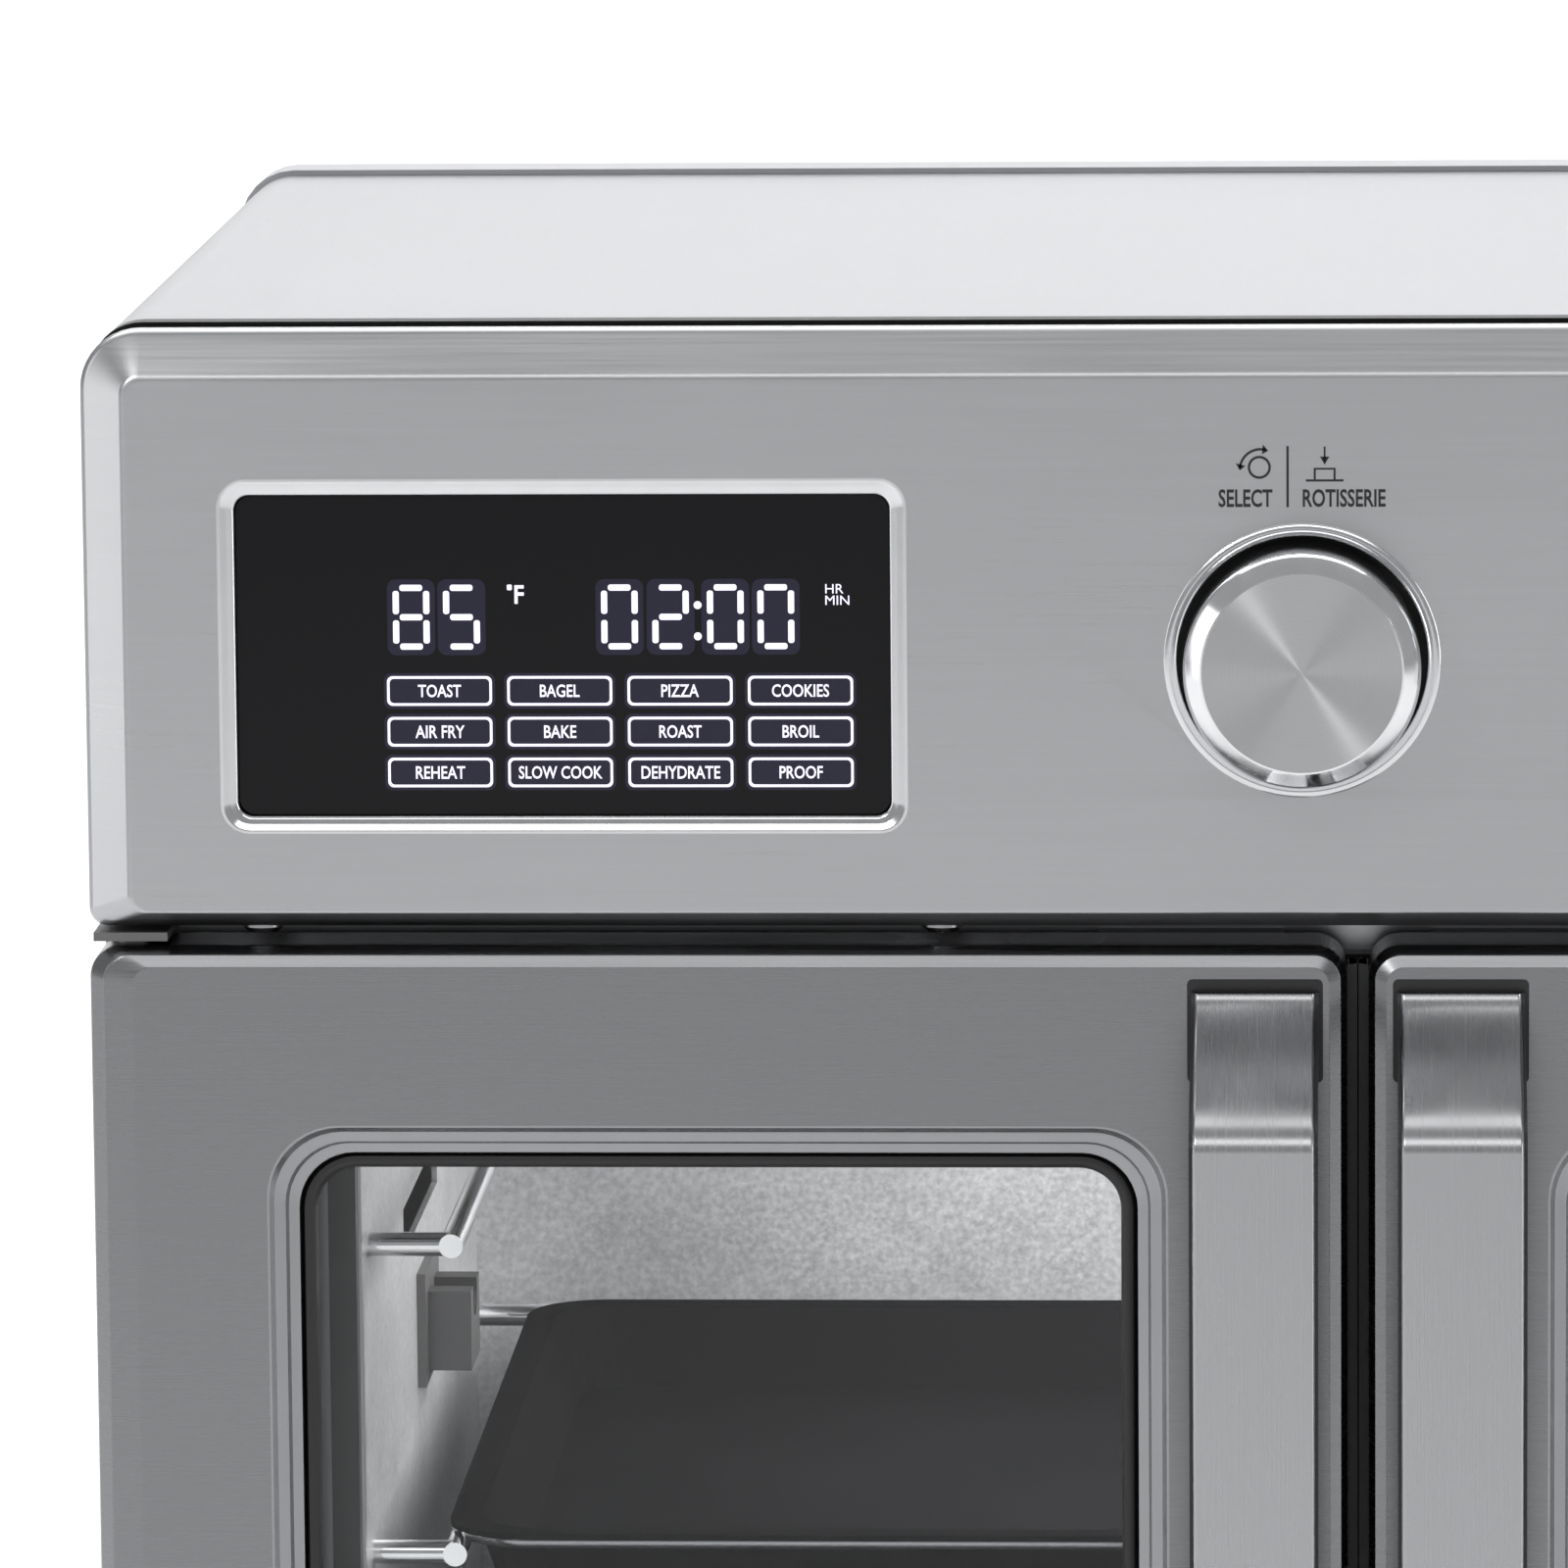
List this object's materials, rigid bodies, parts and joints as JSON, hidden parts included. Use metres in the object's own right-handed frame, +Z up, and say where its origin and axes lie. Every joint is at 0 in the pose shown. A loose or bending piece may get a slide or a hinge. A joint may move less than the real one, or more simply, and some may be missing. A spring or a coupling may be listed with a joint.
{
  "type": "toaster oven",
  "caption": "Countertop toaster oven with French doors, glass windows, a display and push-and-turn knobs, a convection fan, rack, tray and crumb drawer.",
  "frame": {"origin": "under the middle of the whole oven, on the worktop", "axes": "+X to the right of a person facing the doors, +Y to the rear, +Z up"},
  "size_m": [0.41, 0.334, 0.356],
  "materials": {
    "panel_steel": "fine horizontal brushing, satin",
    "door_steel": "fine horizontal brushing, satin, darker than the panel",
    "handle_steel": "fine brushing along the strap, semi-gloss",
    "knob_metal": "spun face with a polished chamfer",
    "cover_steel": "satin metallic coating",
    "frame_steel": "satin",
    "galvanised": "grainy aluminised sheet",
    "zinc": "plated, satin",
    "chrome_wire": "polished wire",
    "screw_steel": "polished heads",
    "element_steel": "dull heat-darkened tube",
    "motor_steel": "satin",
    "dark_enamel": "dark non-stick enamel, satin",
    "black_plastic": "fine-grained black plastic",
    "white_plastic": "moulded white plastic",
    "ceramic_white": "matt ceramic",
    "lens_black": "gloss black window over white lamps",
    "seal_black": "matt silicone rubber",
    "rubber_black": "matt rubber",
    "board_green": "solder mask",
    "window_glass": "clear toughened glass",
    "lamp_glass": "frosted glass"
  },
  "bodies": {
    "casing": {"control_fascia": "panel_steel", "knob_cups": "black_plastic", "encoder_bodies": "zinc", "control_board": "board_green", "display_module": "white_plastic", "display_lens": "lens_black", "front_frame": "frame_steel", "cabinet_wrap": "cover_steel", "rear_panel": "cover_steel", "base_pan": "galvanised", "bottom_rail": "door_steel", "cavity_liner": "galvanised", "cavity_back": "galvanised", "cavity_gasket": "seal_black", "side_rails": "chrome_wire", "wire_rack": "chrome_wire", "baking_tray": "dark_enamel", "heating_elements": "element_steel", "element_insulators": "ceramic_white", "fan_guard": "galvanised", "fan_housing": "galvanised", "fan_motor": "motor_steel", "rotisserie_motor": "motor_steel", "spit_rest": "element_steel", "lamp_housing": "galvanised", "lamp_lens": "lamp_glass", "temperature_probe": "zinc", "heat_shield": "galvanised", "power_board": "board_green", "cord_gland": "black_plastic", "rear_spacers": "black_plastic", "feet": "rubber_black", "screws": "screw_steel", "hinge_brackets": "element_steel", "door_magnets": "seal_black"},
    "left_door": {"left_door_shell": "door_steel", "left_door_inner": "frame_steel", "left_window_glass": "window_glass", "left_window_gasket": "seal_black", "left_door_handle": "handle_steel", "left_hinge_bushes": "white_plastic", "left_meeting_seal": "seal_black"},
    "right_door": {"right_door_shell": "door_steel", "right_door_inner": "frame_steel", "right_window_glass": "window_glass", "right_window_gasket": "seal_black", "right_door_handle": "handle_steel", "right_hinge_bushes": "white_plastic", "right_meeting_seal": "seal_black"},
    "crumb_drawer": {"crumb_tray": "galvanised", "crumb_tray_front": "door_steel"},
    "fan": {"fan_wheel": "zinc", "fan_shaft": "zinc"},
    "spit_drive": {"rotisserie_socket": "black_plastic"},
    "select_push": {"select_shaft": "zinc"},
    "select_turn": {"select_knob": "knob_metal"},
    "temperature_push": {"temperature_shaft": "zinc"},
    "temperature_turn": {"temperature_knob": "knob_metal"},
    "time_push": {"time_shaft": "zinc"},
    "time_turn": {"time_knob": "knob_metal"}
  },
  "joints": [
    {"name": "left_door_swing", "type": "hinge", "parent": "casing", "child": "left_door", "pos_m": [-0.198, -0.1235, 0.0434], "axis": [0, 0, 1], "range_deg": [-110, 0]},
    {"name": "right_door_swing", "type": "hinge", "parent": "casing", "child": "right_door", "pos_m": [0.198, -0.1235, 0.0434], "axis": [0, 0, 1], "range_deg": [0, 110]},
    {"name": "crumb_drawer_slide", "type": "slide", "parent": "casing", "child": "crumb_drawer", "axis": [0, -1, 0], "range_m": [0, 0.2]},
    {"name": "fan_spin", "type": "hinge", "parent": "casing", "child": "fan", "pos_m": [0, 0.00475, 0.2469], "axis": [0, 0, 1], "continuous": true},
    {"name": "spit_drive_spin", "type": "hinge", "parent": "casing", "child": "spit_drive", "pos_m": [0.163, 0.00475, 0.17095], "axis": [1, 0, 0], "continuous": true},
    {"name": "select_press", "type": "slide", "parent": "casing", "child": "select_push", "axis": [0, 1, 0], "range_m": [0, 0.001], "stiffness_N_per_m": 1500, "springref_m": -0.001},
    {"name": "select_rotation", "type": "hinge", "parent": "select_push", "child": "select_turn", "pos_m": [-0.00883, -0.132, 0.3013], "axis": [0, -1, 0], "continuous": true},
    {"name": "temperature_press", "type": "slide", "parent": "casing", "child": "temperature_push", "axis": [0, 1, 0], "range_m": [0, 0.001], "stiffness_N_per_m": 1500, "springref_m": -0.001},
    {"name": "temperature_rotation", "type": "hinge", "parent": "temperature_push", "child": "temperature_turn", "pos_m": [0.07523, -0.132, 0.3013], "axis": [0, -1, 0], "continuous": true},
    {"name": "time_press", "type": "slide", "parent": "casing", "child": "time_push", "axis": [0, 1, 0], "range_m": [0, 0.001], "stiffness_N_per_m": 1500, "springref_m": -0.001},
    {"name": "time_rotation", "type": "hinge", "parent": "time_push", "child": "time_turn", "pos_m": [0.1593, -0.132, 0.3013], "axis": [0, -1, 0], "continuous": true}
  ]
}
